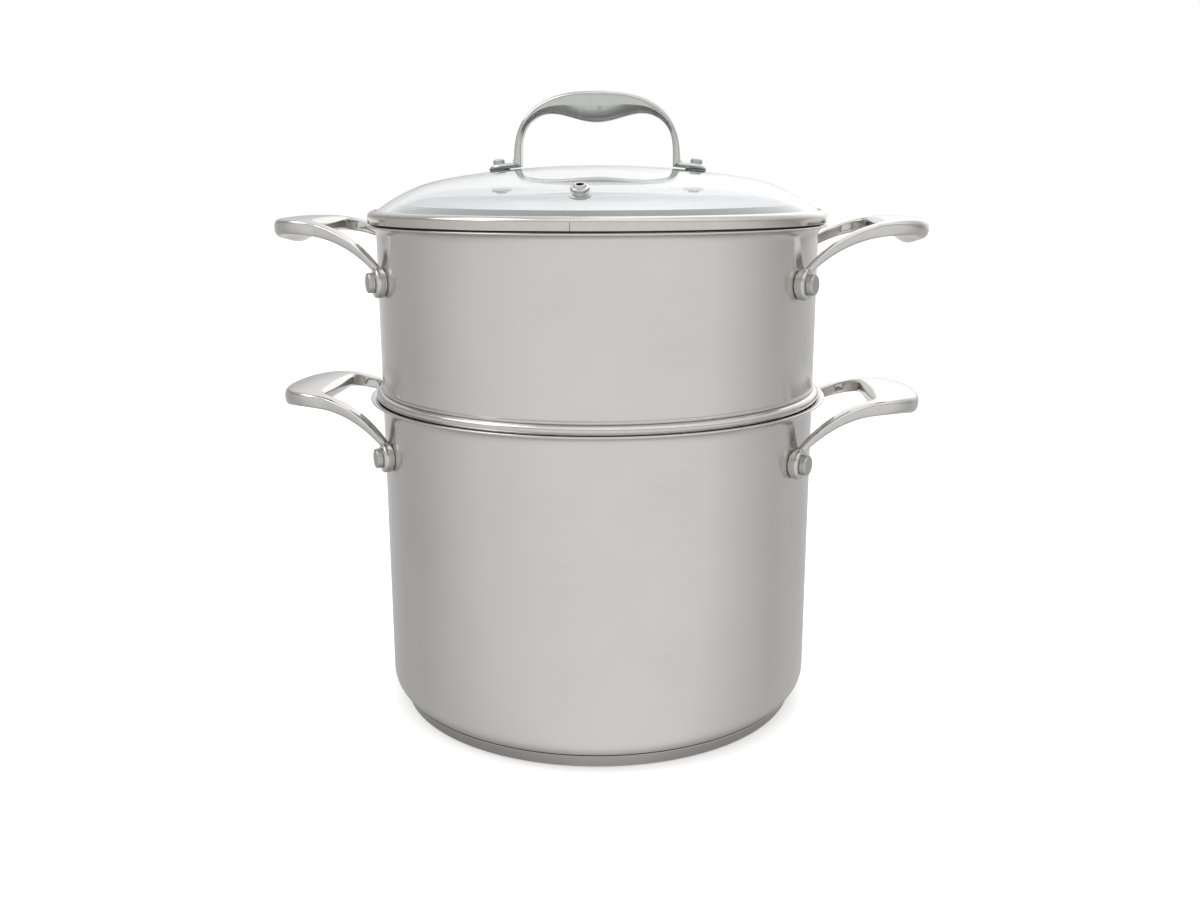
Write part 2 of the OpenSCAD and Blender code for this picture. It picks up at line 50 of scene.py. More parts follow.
# Pots
BODY_R, WALL = 120, 1
POT_RIM, INSERT_RIM = 175, 268
POT_CORNER, POT_ROLL, POT_REST = 11.5, 6.0, 0.2
INSERT_BOTTOM, INSERT_LOW_R, INSERT_CORNER = 135, 114.5, 10
INSERT_ROLL, BEAD_R, BEAD_OUT, NECK_R = 4.5, 2.9, 0.35, 3.0
BEAD_Z = 176.432
# Steps of the low ridge rolled above the bead, with a sharp groove on each side: distance
# from the wall, rise
RIDGE = ((0.35, 0.3), (0.5, 0.3), (0.5, 0.5), (0.2, 0.5), (-0.15, 0), (-0.1, 0.2), (0, 0.2))
POLISH_IN = 0.5  # how far inside the wall the polish of a rim or bead ends
BASE_T, BASE_R, CAP_T, CAP_ROUND = 5.6, 112.8, 0.8, 1.2
SEAM_R, SEAM_H, SEAM_GROOVE = 115.68, 8.0, 0.95

# Lid
BAND_R, BAND_T, BAND_Z, BAND_TOP, BAND_CURL = 124.3, 0.7, 268.25, 275.55, 3.4
SKIRT_R, SKIRT_H, LIP_ANGLE = 118, 6.8, 95
GLASS_R, GLASS_T, CROWN_RAD, SHOULDER_RAD, KNEE_R = 122.6, 4, 500, 87, 80
KNEE_BLEND = (60, 98)  # radii between which the crown turns into the shoulder
CROWN_PULL, SHOULDER_PULL = 0.625, 0.15  # reach of the blend's handles, as shares of its length
SEAL_LIP_T, SEAL_LIP_END = 0.8, 33.0  # thickness, and degrees from the axis where it ends
FOOT_R, FOOT_W, FOOT_T, SOFT_PAD_T = 53.4, 11.6, 3.0, 0.6
WASHER_D, WASHER_T = 11.6, 1.2
ARCH_A, ARCH_H, LEG_T, LEG_W = 45, 38, 3.8, 11
CROWN_T, GRIP_W, GRIP_SWELL, GRIP_L = 9.8, 17, 6.4, 62
ARCH_POWER, ARCH_INNER_POWER = 2.6, 3.6  # of the arch's two superellipses
FACET_START, FACET_RUN = 44, 20  # distance from the axis, and how far the facet takes to widen
FOOT_TAPER = 2.1  # how much thinner a foot gets towards its end
LID_HEAD_R, LID_HEAD_T, LID_HEAD_ROUND, LID_SHANK_R, LID_INNER_T = 3.2, 2.7, 1.3, 2.2, 1.4
VENT_R, VENT_HOLE_R, VENT_D, VENT_T = 99, 1.8, 9.4, 2.9
VENT_SIDE, VENT_SHOULDER, VENT_COLLAR = 0.9, 0.7, 1.2
VENT_TUBE, VENT_ROUND, VENT_FOOT = 0.9, 0.5, 0.7
VENT_WASHER_OUT, VENT_WASHER_T = 0.8, 0.8
CHAMFER = 0.15  # of the washers and soft pads

# Side handles
TIP_X, PADDLE_X, GAP_X, PADDLE_W = 178.2, 147.2, 150.5, 84
PAD_ANGLE, PAD_DROP, PAD_D, PAD_T = 27, 28.4, 16, 5
ARM_W, ARM_SHIFT, PADDLE_T, CROWN_H, SWELL_T = 8, 1.5, 7.6, 1.2, 5
TOP_ARC, TOP_RAD = (161.5, -66.2), 69
LOW_ARC, LOW_RAD = (158.5, -72.8), 68
RIVET_HEAD_D, RIVET_HEAD_T, RIVET_INNER_D, RIVET_INNER_T, RIVET_D = 10.6, 3.6, 12.4, 1.8, 6

PLAN_POWER = 2.2  # of the superellipse round the paddle, 2 for an ellipse
CROWN_BACK, CROWN_FADE = 8, 40  # place of the paddle's crown inside the tip, and its reach
SWELL_OUT, SWELL_FADE, SWELL_SIDE = 17, 11, 34  # the same for the swelling, past the opening
PAD_ROUND, RIVET_ROUND, RIVET_ROOM = 1.3, 1.1, 0.4

ARM_STEPS, TURN_STEPS, EDGE_STEPS = 40, 24, 26


# ---------------------------------------------------------------- making shapes


class Outline:
    """The half section of a turned piece, drawn in the plane of radius and height."""

    def __init__(self, r, z):
        self.bm = bmesh.new()
        self.start = self.tip = self.bm.verts.new((r, 0, z))

    def line(self, r, z):
        """Goes straight to a point, with a support loop near each end of a long straight."""
        start, end = self.tip.co.copy(), Vector((r, 0, z))
        length = (end - start).length
        near = SUPPORT / length
        for share in (near, 1 - near, 1) if length > 4 * SUPPORT else (1,):
            made = bmesh.ops.extrude_vert_indiv(self.bm, verts=[self.tip])
            self.tip = made["verts"][0]
            self.tip.co = start.lerp(end, share)
        return self

    def bend(self, r, z, degrees, steps=8):
        """Goes round a centre, upwards on the outside where degrees is positive."""
        made = bmesh.ops.spin(
            self.bm, geom=[self.tip], cent=(r, 0, z), axis=(0, -1, 0),
            angle=math.radians(degrees), steps=steps,
        )
        self.tip = made["geom_last"][0]
        return self

    def turned(self, steps=LATHE_STEPS):
        """The mesh of the piece, turned round the vertical axis."""
        bm = self.bm
        if self.start.co.x > 0.01:
            bm.edges.new((self.tip, self.start))
        bmesh.ops.spin(
            bm, geom=bm.verts[:] + bm.edges[:], cent=(0, 0, 0), axis=(0, 0, 1),
            angle=math.tau, steps=steps, use_merge=True,
        )
        return closed(bm)


def closed(bm):
    """The same mesh with its seams merged and its faces pointing outwards."""
    bmesh.ops.remove_doubles(bm, verts=bm.verts, dist=0.002)
    bmesh.ops.holes_fill(bm, edges=bm.edges)
    bmesh.ops.recalc_face_normals(bm, faces=bm.faces)
    return bm


def skin(rings):
    """A grid laid over a row of rings of points, closed round each ring."""
    around, along = len(rings[0]), len(rings) - 1
    bm = bmesh.new()
    bmesh.ops.create_grid(bm, x_segments=along, y_segments=around, size=1)
    for v in bm.verts:
        i = round((v.co.x + 1) / 2 * along)
        j = round((v.co.y + 1) / 2 * around) % around
        v.co = rings[i][j]
    return closed(bm)


def placed(bm, *matrices):
    """The same mesh moved by matrices, the last one first."""
    for matrix in reversed(matrices):
        bmesh.ops.transform(bm, matrix=matrix, verts=bm.verts)
    return bm


def carved(bm, tool, operation):
    """The mesh after a Boolean with a tool."""
    pair = []
    for part in (bm, tool):
        mesh = bpy.data.meshes.new("part")
        part.to_mesh(mesh)
        part.free()
        pair.append(bpy.data.objects.new("part", mesh))
        bpy.context.scene.collection.objects.link(pair[-1])
    cut = pair[0].modifiers.new("cut", "BOOLEAN")
    cut.operation, cut.object, cut.solver = operation, pair[1], "EXACT"
    result = bmesh.new()
    result.from_object(pair[0], bpy.context.evaluated_depsgraph_get())
    for obj in pair:
        bpy.data.meshes.remove(obj.data)
    return result


def finished(bm, name, body, nodes, material, trim=None, is_trim=None):
    """A finished piece that rides on its body in place of its CAD nodes. Faces whose
    middle is_trim accepts, in mm, take the trim material."""
    for face in bm.faces:
        if trim and is_trim(face.calc_center_median()):
            face.material_index = 1
    bmesh.ops.scale(bm, vec=(MM, MM, MM), verts=bm.verts)
    mesh = bpy.data.meshes.new(name)
    bm.to_mesh(mesh)
    bm.free()
    for coat in (material, trim) if trim else (material,):
        mesh.materials.append(coat)
    mesh.shade_smooth()
    mesh.set_sharp_from_angle(angle=math.radians(SHARP_ANGLE))
    piece = bpy.data.objects.new(name, mesh)
    bpy.context.scene.collection.objects.link(piece)
    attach(piece, body)
    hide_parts(*nodes)
    return piece


# ---------------------------------------------------------------- materials


def colour(code):
    """Linear colour of an sRGB hex value such as "#cbcac4"."""
    channels = [int(code[i:i + 2], 16) / 255 for i in (1, 3, 5)]
    return [*((c / 12.92 if c <= 0.04045 else ((c + 0.055) / 1.055) ** 2.4) for c in channels), 1]


def add(material, kind, inputs=None, stops=None, **settings):
    """A new node with its settings. A socket among its inputs is linked, a value is set,
    and the stops of a colour ramp are (position, hex)."""
    node = material.node_tree.nodes.new("ShaderNode" + kind)
    for name, value in settings.items():
        setattr(node, name, value)
    for k, (position, code) in enumerate(stops or ()):
        elements = node.color_ramp.elements
        element = elements[k] if k < 2 else elements.new(position)
        element.position, element.color = position, colour(code)
    for socket, value in (inputs or {}).items():
        if isinstance(value, bpy.types.NodeSocket):
            material.node_tree.links.new(value, node.inputs[socket])
        else:
            node.inputs[socket].default_value = value
    return node


def new_material(name):
    """An empty material with nodes."""
    material = bpy.data.materials.new(name)
    material.use_nodes = True
    material.node_tree.nodes.clear()
    return material


def finish_material(material, shader):
    """The material with its shader joined to the output."""
    add(material, "OutputMaterial", {"Surface": shader.outputs[0]})
    return material


def noise(material, place, size_mm, detail, **more):
    """Level of a noise whose features are about size_mm across."""
    inputs = {"Vector": place, "Scale": 1 / (size_mm * MM), "Detail": detail, **more}
    return add(material, "TexNoise", inputs).outputs["Fac"]


def tones(material, level, dark, light, low=0.3, high=0.7):
    """Colour that goes between two hex values as a level goes from low to high."""
    ramp = add(material, "ValToRGB", {"Fac": level}, stops=[(low, dark), (high, light)])
    return ramp.outputs["Color"]


def ranged(material, level, low, high, start, end, **settings):
    """Value that goes from start to end as a level goes from low to high."""
    return add(material, "MapRange", {
        "Value": level, "From Min": low, "From Max": high,
        "To Min": start, "To Max": end}, **settings).outputs[0]


def relief(material, level, strength, depth_mm):
    """Normal of a surface on which a level is a height."""
    return add(material, "Bump", {
        "Height": level, "Strength": strength, "Distance": depth_mm * MM}).outputs[0]


def brushed_steel(name, dark, light, roughness, anisotropy, grain_mm):
    """Stainless steel 18/10 with a fine satin brushing that runs round the axis. The
    brushing stretches every reflection up and down the wall."""
    material = new_material(name)
    place = add(material, "TexCoord").outputs["Object"]
    flat = add(material, "VectorMath", {0: place, 1: (1, 1, 0)}, operation="MULTIPLY").outputs[0]
    outward = add(material, "VectorMath", {0: flat}, operation="NORMALIZE").outputs[0]
    radius = add(material, "VectorMath", {0: flat}, operation="LENGTH").outputs["Value"]
    height = add(material, "SeparateXYZ", {0: place}).outputs["Z"]
    # The grain changes quickly up the wall and along the bottom, slowly round the axis.
    # Real grit lines are 0.05 mm apart, and grain_mm is coarser so that they show
    climb = add(material, "Math", {0: height, 1: radius})
    lines = add(material, "Math", {
        0: climb.outputs[0], 1: 1 / (grain_mm * MM)}, operation="MULTIPLY")
    slow = add(material, "VectorMath", {0: outward, 1: (7, 7, 0)}, operation="MULTIPLY")
    across = add(material, "CombineXYZ", {"Z": lines.outputs[0]})
    grain_place = add(material, "VectorMath", {0: slow.outputs[0], 1: across.outputs[0]})
    grain = add(material, "TexNoise", {
        "Vector": grain_place.outputs[0], "Scale": 1.0, "Detail": 4.0}).outputs["Fac"]
    cloud = noise(material, place, 45, 2.0)
    both = add(material, "Mix", {"Factor": 0.6, "A": grain, "B": cloud}).outputs[0]
    tone = tones(material, both, dark, light)
    rough = ranged(material, grain, 0.3, 0.7, roughness - 0.015, roughness + 0.015)
    bump = relief(material, grain, 0.006, 0.2)
    around = add(material, "VectorMath", {0: (0, 0, 1), 1: outward}, operation="CROSS_PRODUCT")
    shader = add(material, "BsdfPrincipled", {
        "Base Color": tone, "Metallic": 1.0, "Roughness": rough,
        "Anisotropic": anisotropy, "Anisotropic Rotation": 0.25,
        "Normal": bump, "Tangent": around.outputs[0]})
    return finish_material(material, shader)


def polished_steel(name, dark, light, roughness, wave_mm=18, wave=0.02, weld_mm=None):
    """Stainless steel polished on a cloth wheel, whose very shallow waves and faint wiping
    marks bend and soften its reflections. A strip closed into a ring has a butt weld at the
    front, seen as a fine dark line at weld_mm: its place to the side and its top."""
    material = new_material(name)
    place = add(material, "TexCoord").outputs["Object"]
    waves = noise(material, place, wave_mm, 1.0)
    haze = noise(material, place, 5, 5.0, Roughness=0.7)
    tone = tones(material, haze, dark, light, 0.35, 0.65)
    rough = ranged(material, haze, 0.35, 0.7, roughness * 0.9, roughness * 1.15)
    bump = relief(material, waves, wave, 1)
    if weld_mm:
        x, y, z = add(material, "SeparateXYZ", {0: place}).outputs
        side, top, half_width = (length * MM for length in (*weld_mm, 0.14))
        line = add(material, "Math", {0: x, 1: side, 2: half_width}, operation="COMPARE")
        low = add(material, "Math", {0: z, 1: top}, operation="LESS_THAN")
        front = add(material, "Math", {0: y, 1: 0.0}, operation="LESS_THAN")
        seen = add(material, "Math", {0: low.outputs[0], 1: front.outputs[0]}, operation="MULTIPLY")
        weld = add(material, "Math", {0: line.outputs[0], 1: seen.outputs[0]}, operation="MULTIPLY")
        tone = add(material, "Mix", {
            "Factor": weld.outputs[0], "A": tone, "B": colour("#5f5b57")}, data_type="RGBA")
        tone = next(o for o in tone.outputs if o.enabled)
    shader = add(material, "BsdfPrincipled", {
        "Base Color": tone, "Metallic": 1.0, "Roughness": rough, "Normal": bump})
    return finish_material(material, shader)


def satin_metal(name, dark, light, roughness, grain_mm=0.6):
    """Metal left matt by rolling, pressing or tumbling, which gives it a soft grey sheen
    with no lines in it, the same from every side."""
    material = new_material(name)
    place = add(material, "TexCoord").outputs["Object"]
    grain = noise(material, place, grain_mm, 3.0)
    tone = tones(material, grain, dark, light)
    rough = ranged(material, grain, 0.3, 0.7, roughness - 0.05, roughness + 0.05)
    bump = relief(material, grain, 0.15, 0.1)
    shader = add(material, "BsdfPrincipled", {
        "Base Color": tone, "Metallic": 1.0, "Roughness": rough, "Normal": bump})
    return finish_material(material, shader)


def soda_lime_glass(name, tint):
    """Soda-lime float glass, bent hot over a mould and tempered. It stays smooth and almost
    colourless, and its faint waves bend the edges of what lies behind it."""
    material = new_material(name)
    place = add(material, "TexCoord").outputs["Object"]
    bump = relief(material, noise(material, place, 30, 1.0), 0.02, 1)
    shader = add(material, "BsdfPrincipled", {
        "Base Color": colour(tint), "Roughness": 0.0, "IOR": 1.52,
        "Transmission Weight": 1.0, "Normal": bump})
    # Light passes through to the pot instead of stopping at the glass
    clear = add(material, "BsdfTransparent", {"Color": colour(tint)})
    rays = add(material, "LightPath")
    mixed = add(material, "MixShader", {
        0: rays.outputs["Is Shadow Ray"], 1: shader.outputs[0], 2: clear.outputs[0]})
    return finish_material(material, mixed)


def silicone(name, dark, light, roughness):
    """Moulded silicone rubber, which has a soft sheen and a faint mottling like dust."""
    material = new_material(name)
    place = add(material, "TexCoord").outputs["Object"]
    mottle = noise(material, place, 1.5, 3.0)
    tone = tones(material, mottle, dark, light)
    bump = relief(material, mottle, 0.2, 0.05)
    shader = add(material, "BsdfPrincipled", {
        "Base Color": tone, "Roughness": roughness, "IOR": 1.41, "Normal": bump})
    return finish_material(material, shader)


SATIN = brushed_steel("brushed stainless steel", "#ccc9c6", "#d1cecb", 0.23, 0.9, 0.5)
POLISHED = polished_steel("mirror polished stainless steel", "#c4c2bf", "#cac8c5", 0.07)
GRIP_STEEL = polished_steel("hand polished stainless grip", "#bbbdba", "#c1c3c0", 0.13)
BAND_STEEL = polished_steel("polished stainless strip", "#c5c1bb", "#cac6c0", 0.12,
                            wave_mm=25, wave=0.015, weld_mm=(-2.4, 273.0))
# Very dark steel for the band's chamfered underside: painted shade for the dark gap between the
# band and the rim.
CREVICE_SHADE_STEEL = satin_metal("band underside with painted crevice shade", "#5d5a57", "#676461", 0.5, 1.0)
CAP_STEEL = brushed_steel("brushed stainless base cap", "#b6b2ae", "#bcb8b4", 0.3, 0.7, 0.5)
RIVET_STEEL = satin_metal("tumbled stainless rivet", "#b0b0ad", "#b9b9b6", 0.38)
WASHER_STEEL = satin_metal("pressed stainless washer", "#dad9d6", "#e3e2df", 0.3)
ALUMINIUM = satin_metal("rolled aluminium disc", "#c9c9cc", "#d4d4d6", 0.4, 1.5)
GLASS = soda_lime_glass("tempered soda-lime glass", "#fcfeff")
CLEAR_SILICONE = silicone("translucent silicone seal", "#868d8e", "#8f9697", 0.5)
GREY_SILICONE = silicone("grey silicone rubber", "#87888a", "#929395", 0.6)


# ---------------------------------------------------------------- pots


def lower_pot():
    """Deep pot with a rounded corner and a rim rolled outwards for pouring."""
    roll = (BODY_R + POT_ROLL, POT_RIM - WALL - POT_ROLL)
    corner = (BODY_R - POT_CORNER, BASE_T + POT_CORNER)
    out = Outline(0, BASE_T)
    out.line(corner[0], BASE_T).bend(*corner, 90, 14)
    out.line(BODY_R, roll[1]).bend(*roll, -90, 14)
    out.line(roll[0] + POT_REST, POT_RIM - WALL)
    out.bend(roll[0] + POT_REST, POT_RIM - WALL / 2, 180, 10)
    out.line(roll[0], POT_RIM).bend(*roll, 90, 14)
    out.line(BODY_R - WALL, corner[1]).bend(*corner, -90, 14)
    out.line(0, BASE_T + WALL)
    rim_z = POT_RIM - WALL - 0.3
    finished(out.turned(), "lower_pot", "pot", ["pot_body"],
             SATIN, POLISHED, lambda p: p.z > rim_z and p.to_2d().length > BODY_R - POLISH_IN)


def base():
    """Steel cap of the capsule base, pressed round the hidden disc."""
    corner = (BODY_R - POT_CORNER, BASE_T + POT_CORNER)
    # The cap's edge stands off the pot's corner, which leaves a fine dark groove
    groove = SEAM_H - SEAM_GROOVE
    meet = math.degrees(math.asin((corner[1] - groove) / POT_CORNER))
    meet_r = corner[0] + POT_CORNER * math.cos(math.radians(meet))
    out = Outline(0, 0)
    out.line(BASE_R - CAP_ROUND, 0).bend(BASE_R - CAP_ROUND, CAP_ROUND, 82, 8)
    out.line(SEAM_R - 0.1, SEAM_H - 0.75).line(SEAM_R - 0.3, SEAM_H - 0.5)
    out.line(meet_r, groove).bend(*corner, meet - 90, 6)
    out.line(BASE_R - CAP_T - 0.4, BASE_T).line(BASE_R - CAP_T - 0.4, CAP_T).line(0, CAP_T)
    finished(out.turned(), "capsule_base", "pot", ["base_cap"], CAP_STEEL)


def upper_pot():
    """Pot that hangs in the lower one by the bead between its wall and its reduced part."""
    roll = (BODY_R + INSERT_ROLL, INSERT_RIM - WALL - INSERT_ROLL)
    corner = (INSERT_LOW_R - INSERT_CORNER, INSERT_BOTTOM + INSERT_CORNER)
    bead = (BODY_R + BEAD_OUT, BEAD_Z)
    neck = (INSERT_LOW_R + NECK_R, BEAD_Z - BEAD_R - NECK_R)
    bead_top = math.degrees(math.acos(-BEAD_OUT / BEAD_R))
    inner_top = math.degrees(math.acos(-(BEAD_OUT + WALL) / (BEAD_R - WALL)))
    out = Outline(0, INSERT_BOTTOM)
    out.line(corner[0], INSERT_BOTTOM).bend(*corner, 90, 14)
    out.line(INSERT_LOW_R, neck[1]).bend(*neck, -90, 8)
    out.line(bead[0], bead[1] - BEAD_R).bend(*bead, 90 + bead_top, 24)
    for beyond, rise in RIDGE:
        out.line(BODY_R + beyond, out.tip.co.z + rise)
    out.line(BODY_R, roll[1]).bend(*roll, -90, 12)
    out.bend(roll[0], INSERT_RIM - WALL / 2, 180, 10)
    out.bend(*roll, 90, 12)
    inner = Vector((math.cos(math.radians(inner_top)), math.sin(math.radians(inner_top))))
    start = Vector(bead) + (BEAD_R - WALL) * inner
    out.line(BODY_R - WALL, start.y + 1).line(start.x, start.y)
    out.bend(*bead, -90 - inner_top, 16)
    out.line(neck[0], neck[1] + NECK_R + WALL).bend(*neck, 90, 8)
    out.line(INSERT_LOW_R - WALL, corner[1]).bend(*corner, -90, 14)
    out.line(0, INSERT_BOTTOM + WALL)
    rim_z, bead_z = INSERT_RIM - WALL - 0.3, BEAD_Z + BEAD_R + 1.55

    def is_polished(p):
        outside = p.to_2d().length > BODY_R - POLISH_IN
        return outside and (p.z > rim_z or p.z < bead_z)

    finished(out.turned(), "upper_pot", "insert", ["insert_body"],
             SATIN, POLISHED, is_polished)


# ---------------------------------------------------------------- side handles


def hump(u):
    """1 in the middle, 0 at a distance of 1 and beyond."""
    return 0 if abs(u) >= 1 else (1 + math.cos(math.pi * u)) / 2


def soft_polygon(corners):
    """A closed row of points along a polygon whose corners (x, y, softness, splits of
    the next side) are rounded."""
    points = []
    for k, (x, y, soft, splits) in enumerate(corners):
        here = Vector((x, y))
        before, after = Vector(corners[k - 1][:2]), Vector(corners[(k + 1) % len(corners)][:2])
        a = here + (before - here).normalized() * soft
        b = here + (after - here).normalized() * soft
        points += [a.lerp(here, t / 6).lerp(here.lerp(b, t / 6), t / 6) for t in range(7)]
        after_soft = corners[(k + 1) % len(corners)][2]
        end = after + (here - after).normalized() * after_soft
        points += [b.lerp(end, s / (splits + 1)) for s in range(1, splits + 1)]
    return points


def top_height(p):
    """Height of the handle's top from the rim: an arc with a slight crown on the paddle."""
    share = max(0, 1 - (2 * p.y / PADDLE_W) ** 2) * hump((p.x - TIP_X + CROWN_BACK) / CROWN_FADE)
    return TOP_ARC[1] + math.sqrt(TOP_RAD ** 2 - (p.x - TOP_ARC[0]) ** 2) + CROWN_H * share


def low_height(p):
    """Height of its underside: an arc with a swelling for the fingers."""
    swell = hump((p.x - GAP_X - SWELL_OUT) / SWELL_FADE) * hump(p.y / SWELL_SIDE)
    return LOW_ARC[1] + math.sqrt(LOW_RAD ** 2 - (p.x - LOW_ARC[0]) ** 2) - SWELL_T * swell


def handle_plan():
    """Pairs of points on both sides of one half of the loop, from its pad to its middle."""
    pad = math.radians(PAD_ANGLE)
    out, side = Vector((math.cos(pad), math.sin(pad))), Vector((-math.sin(pad), math.cos(pad)))
    inner_root = (BODY_R - 3) * out + (ARM_SHIFT - ARM_W / 2) * side
    outer_root = (BODY_R - 3) * out + (ARM_SHIFT + ARM_W / 2) * side
    gap_end = Vector((GAP_X - 11.5, PADDLE_W / 2 - 6.5))
    edge_start = Vector((GAP_X, gap_end.y - 10.5))
    shoulder = Vector((PADDLE_X, PADDLE_W / 2))

    def bezier(a, b, c, d, steps):
        return interpolate_bezier(a, b, c, d, steps + 1)

    inner = bezier(inner_root, inner_root + Vector((9, -3.6)),
                   gap_end + Vector((-13, 2.4)), gap_end, ARM_STEPS)
    inner += bezier(gap_end, Vector((GAP_X - 4.5, gap_end.y - 1.5)),
                    Vector((GAP_X, gap_end.y - 3)), edge_start, TURN_STEPS)[1:]
    inner += [edge_start * Vector((1, 1 - i / EDGE_STEPS)) for i in range(1, EDGE_STEPS + 1)]
    outer = bezier(outer_root, outer_root + Vector((12, -1.8)),
                   shoulder + Vector((-17, 3.6)), shoulder, ARM_STEPS)
    rest = TURN_STEPS + EDGE_STEPS
    for i in range(1, rest + 1):
        t = math.pi / 2 * i / rest
        outer.append(Vector((PADDLE_X + (TIP_X - PADDLE_X) * math.sin(t) ** (2 / PLAN_POWER),
                             PADDLE_W / 2 * max(0, math.cos(t)) ** (2 / PLAN_POWER))))
    return list(zip(inner, outer))


def handle_ring(a, b, paddle):
    """A cross-section of the loop from a, beside the opening, to b on its outside.
    paddle goes from 0 in the arms to 1 in the middle of the paddle."""
    length, thick = (b - a).length, PADDLE_T
    # A narrow bevel towards the opening, and softer edges on the paddle than on the arms
    face, drop = 0.8 + 1.9 * paddle, 0.8 + 1.5 * paddle
    low, high = 2.4 + 1.8 * paddle, 3.2
    section = soft_polygon([
        (0, 0, 2.2, 10), (length, 0, low, 2), (length, thick, high, 8),
        (face, thick, 0.35 + 0.2 * paddle, 1), (0, thick - drop, 0.35 + 0.3 * paddle, 2)])
    ring = []
    for s, level in section:
        p = a.lerp(b, s / length)
        low_z = low_height(p)
        ring.append(Vector((*p, low_z + (top_height(p) - low_z) * level / thick)))
    return ring


def pad_matrix(side, fore, z):
    """Stands a piece turned round the vertical axis on the outside of the wall."""
    angle = -fore * PAD_ANGLE if side > 0 else 180 + fore * PAD_ANGLE
    return (Matrix.Rotation(math.radians(angle), 4, "Z") @ Matrix.Translation((0, 0, z))
            @ Matrix.Rotation(math.pi / 2, 4, "Y"))


def right_handle():
    """The right-hand handle, with heights from the rim."""
    rest = TURN_STEPS + EDGE_STEPS
    half = []
    for i, (a, b) in enumerate(handle_plan()):
        paddle = max(0, i - ARM_STEPS) / rest
        half.append(handle_ring(a, b, paddle * paddle * (3 - 2 * paddle)))
    rings = half + [[Vector((p.x, -p.y, p.z)) for p in ring] for ring in reversed(half[:-1])]
    handle = skin(rings)
    edge, face, room_r = PAD_D / 2, BODY_R + PAD_T, RIVET_HEAD_D / 2 + RIVET_ROOM
    for fore in (1, -1):
        # Rounded where it meets the wall, which leaves a fine dark gap round it
        pad = Outline(0, BODY_R - 6).line(edge - 1.2, BODY_R - 6)
        pad.line(edge - 1.2, BODY_R + 0.1).line(edge - 0.4, BODY_R + 0.5)
        pad.line(edge, BODY_R + PAD_ROUND).line(edge, face - PAD_ROUND)
        pad.bend(edge - PAD_ROUND, face - PAD_ROUND, 90, 8).line(0, face)
        matrix = pad_matrix(1, fore, -PAD_DROP)
        handle = carved(handle, placed(pad.turned(64), matrix), "UNION")
        # The arm is cut away round the rivet's head
        room = Outline(0, face).line(room_r, face).line(room_r, face + 20).line(0, face + 20)
        handle = carved(handle, placed(room.turned(64), matrix), "DIFFERENCE")
    wall = bmesh.new()
    bmesh.ops.create_cone(wall, cap_ends=True, segments=LATHE_STEPS, radius1=BODY_R - 0.1,
                          radius2=BODY_R - 0.1, depth=600)
    return carved(handle, wall, "DIFFERENCE")


def side_handles():
    """The four handles, each with its two rivets."""
    for side, hand in ((1, "right"), (-1, "left")):
        for rim, body, tier in ((POT_RIM, "pot", "lower"), (INSERT_RIM, "insert", "upper")):
            bm = HANDLE.copy()
            if side < 0:
                bmesh.ops.scale(bm, vec=(-1, 1, 1), verts=bm.verts)
                bmesh.ops.reverse_faces(bm, faces=bm.faces)
            bmesh.ops.translate(bm, vec=(0, 0, rim), verts=bm.verts)
            finished(bm, f"{tier}_handle_{hand}", body, [f"{body}_handle_{hand}"],
                     POLISHED)
            for fore, where in ((1, "front"), (-1, "rear")):
                rivet = side_rivet(pad_matrix(side, fore, rim - PAD_DROP))
                finished(rivet, f"{tier}_rivet_{hand}_{where}", body,
                         [f"{body}_rivet_{hand}_{where}"], RIVET_STEEL)


def side_rivet(matrix):
    """Outer head, shank and the flat head inside the pot."""
    head, face = RIVET_HEAD_D / 2, BODY_R + PAD_T
    inner, back = RIVET_INNER_D / 2, BODY_R - WALL
    out = Outline(0, back - RIVET_INNER_T).line(inner - 1.6, back - RIVET_INNER_T)
    out.line(inner - 0.3, back - 0.6).line(inner, back - 0.3).line(inner, back + 0.2)
    out.line(RIVET_D / 2, back + 0.2).line(RIVET_D / 2, face).line(head - 0.2, face)
    out.line(head, face + 0.2).line(head, face + RIVET_HEAD_T - RIVET_ROUND)
    out.bend(head - RIVET_ROUND, face + RIVET_HEAD_T - RIVET_ROUND, 84, 7)
    out.line(0, face + RIVET_HEAD_T + 0.15)
    return placed(out.turned(64), matrix)


# ---------------------------------------------------------------- lid

knee_tilt = math.asin(KNEE_R / CROWN_RAD)
shoulder_x = KNEE_R - SHOULDER_RAD * math.sin(knee_tilt)
edge_tilt = math.asin((GLASS_R - shoulder_x) / SHOULDER_RAD)
glass_edge_z = BAND_TOP - BAND_CURL + 0.5
shoulder_z = glass_edge_z - SHOULDER_RAD * math.cos(edge_tilt)
crown_z = shoulder_z + (SHOULDER_RAD - CROWN_RAD) * math.cos(knee_tilt)
flange_z = BAND_Z + BAND_T
glass_floor = flange_z + 0.45
floor_tilt = math.acos((glass_floor - shoulder_z) / (SHOULDER_RAD - GLASS_T))
foot_tilt = math.asin(FOOT_R / CROWN_RAD)
foot_z = crown_z + (CROWN_RAD + SOFT_PAD_T) * math.cos(foot_tilt)


def dome_face(inset):
    """The row of points of one face of the glass from its middle to past the knee, where
    the nearly flat crown curves smoothly into the shoulder."""
    crown, shoulder = CROWN_RAD - inset, SHOULDER_RAD - inset
    start = KNEE_BLEND[0] / CROWN_RAD
    end = math.asin((KNEE_BLEND[1] - shoulder_x) / SHOULDER_RAD)
    a = Vector((crown * math.sin(start), crown_z + crown * math.cos(start)))
    d = Vector((shoulder_x + shoulder * math.sin(end), shoulder_z + shoulder * math.cos(end)))
    reach = (d - a).length
    b = a + CROWN_PULL * reach * Vector((math.cos(start), -math.sin(start)))
    c = d - SHOULDER_PULL * reach * Vector((math.cos(end), -math.sin(end)))
    flat = [Vector((crown * math.sin(start * i / 20), crown_z + crown * math.cos(start * i / 20)))
            for i in range(20)]
    return flat + interpolate_bezier(a, b, c, d, 26), math.degrees(end)


